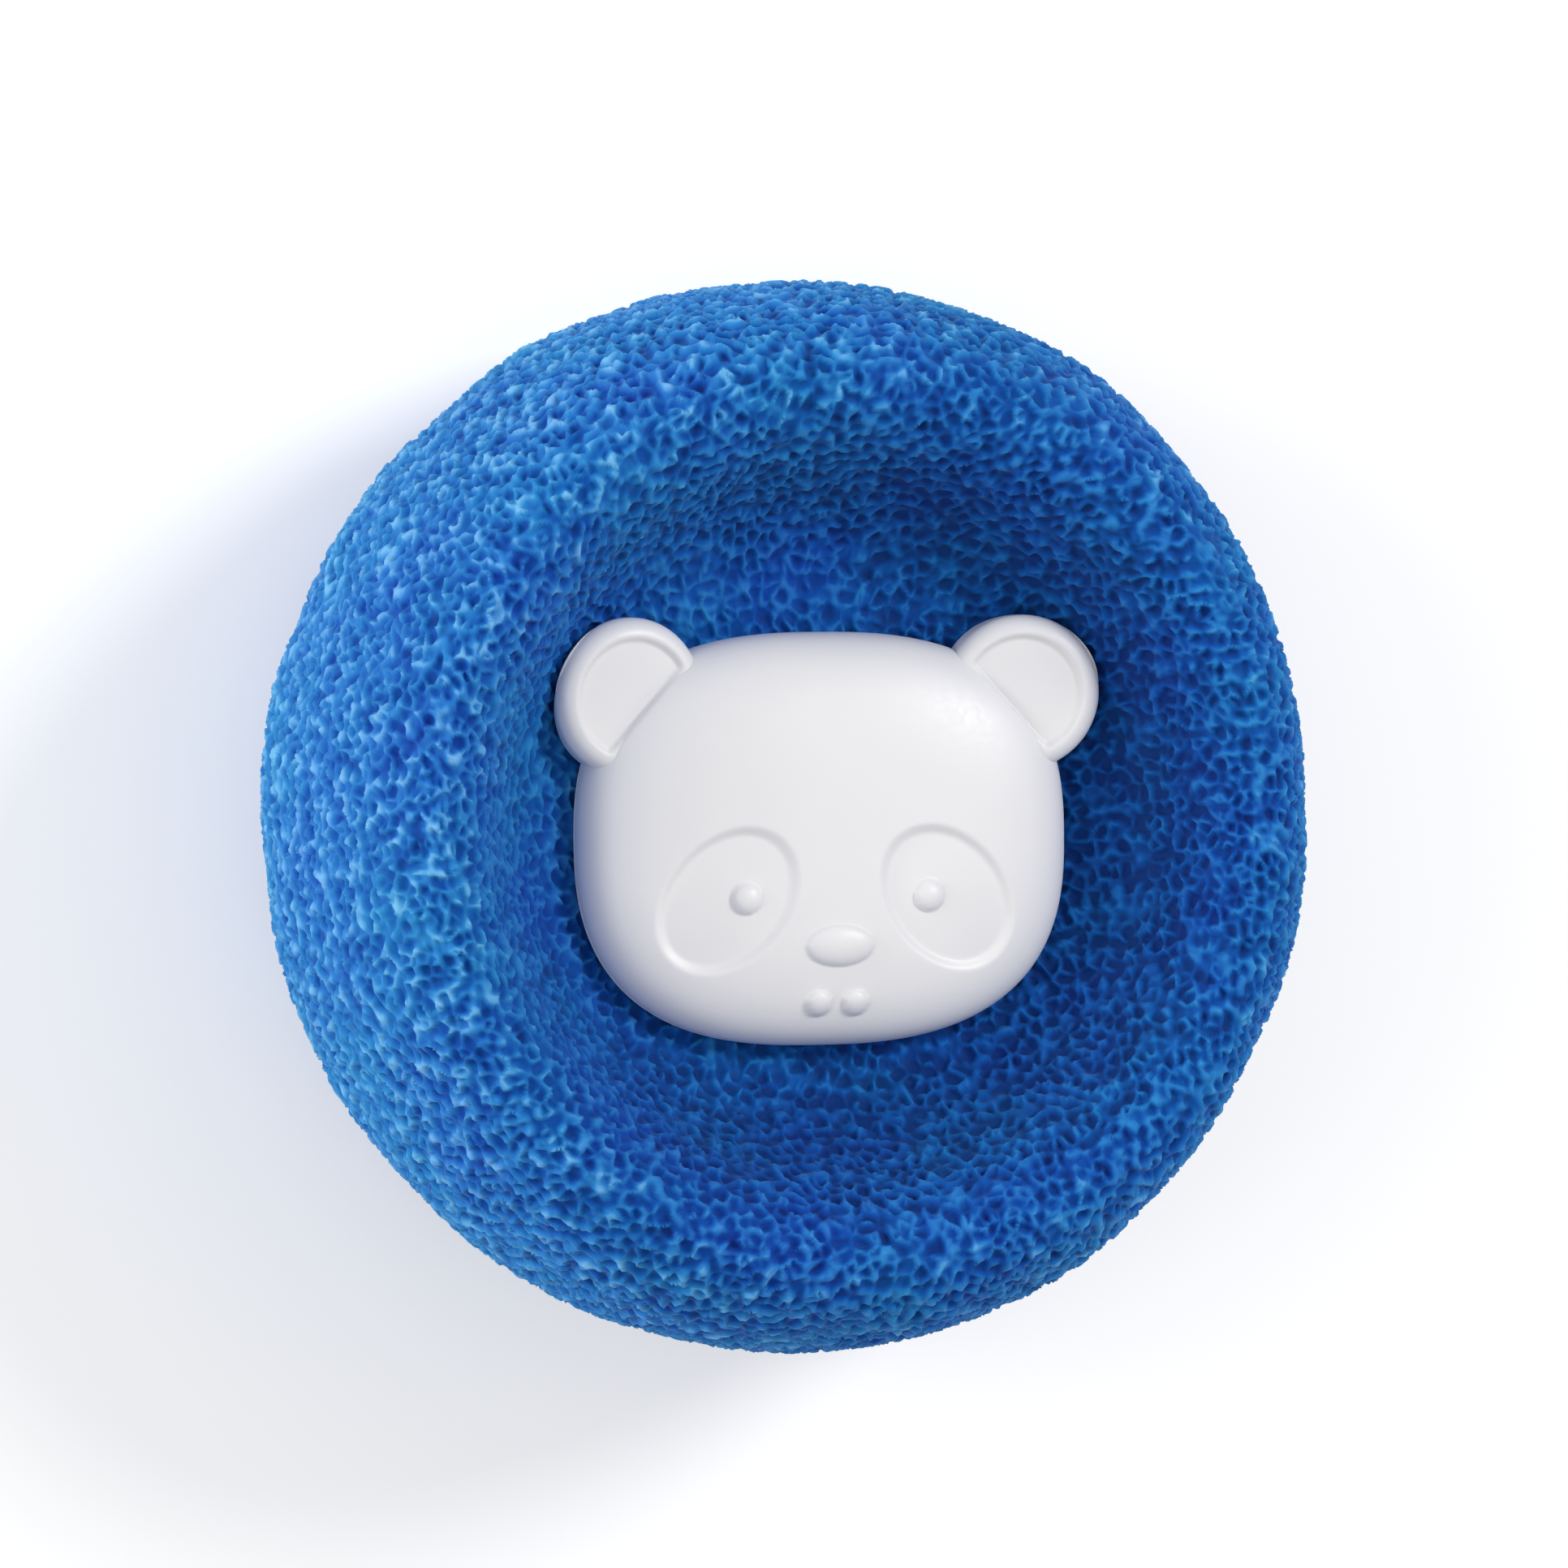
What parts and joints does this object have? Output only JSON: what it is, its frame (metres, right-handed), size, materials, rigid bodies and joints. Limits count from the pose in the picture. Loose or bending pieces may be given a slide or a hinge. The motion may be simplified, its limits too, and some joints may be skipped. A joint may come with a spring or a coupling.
{
  "type": "pet hair laundry ball",
  "caption": "Soft open-cell foam ball with a bowl in each face, clamped between bear-faced plastic caps on a snap post, that picks pet hair off laundry in the drum.",
  "frame": {"origin": "centre of the ball's footprint, on the rear flat that it lies on", "axes": "+Z along the post towards the front bear, +X to the right and +Y up as one looks at the front bear"},
  "size_m": [0.0628, 0.0656, 0.036],
  "materials": {
    "foam": "open-cell reticulated foam, matte",
    "cap": "satin moulded",
    "post": "satin moulded"
  },
  "bodies": {
    "foam": {"foam_ring": "foam"},
    "core": {"centre_post": "post"},
    "front_cap": {"front_bear_cap": "cap"},
    "rear_cap": {"rear_bear_cap": "cap"}
  },
  "joints": [
    {"name": "core_spin", "type": "hinge", "parent": "foam", "child": "core", "pos_m": [0, 0, 0.018], "axis": [0, 0, 1], "continuous": true},
    {"name": "front_cap_pull", "type": "slide", "parent": "core", "child": "front_cap", "axis": [0, 0, 1], "range_m": [0, 0.024]},
    {"name": "rear_cap_pull", "type": "slide", "parent": "core", "child": "rear_cap", "axis": [0, 0, -1], "range_m": [0, 0.024]}
  ]
}
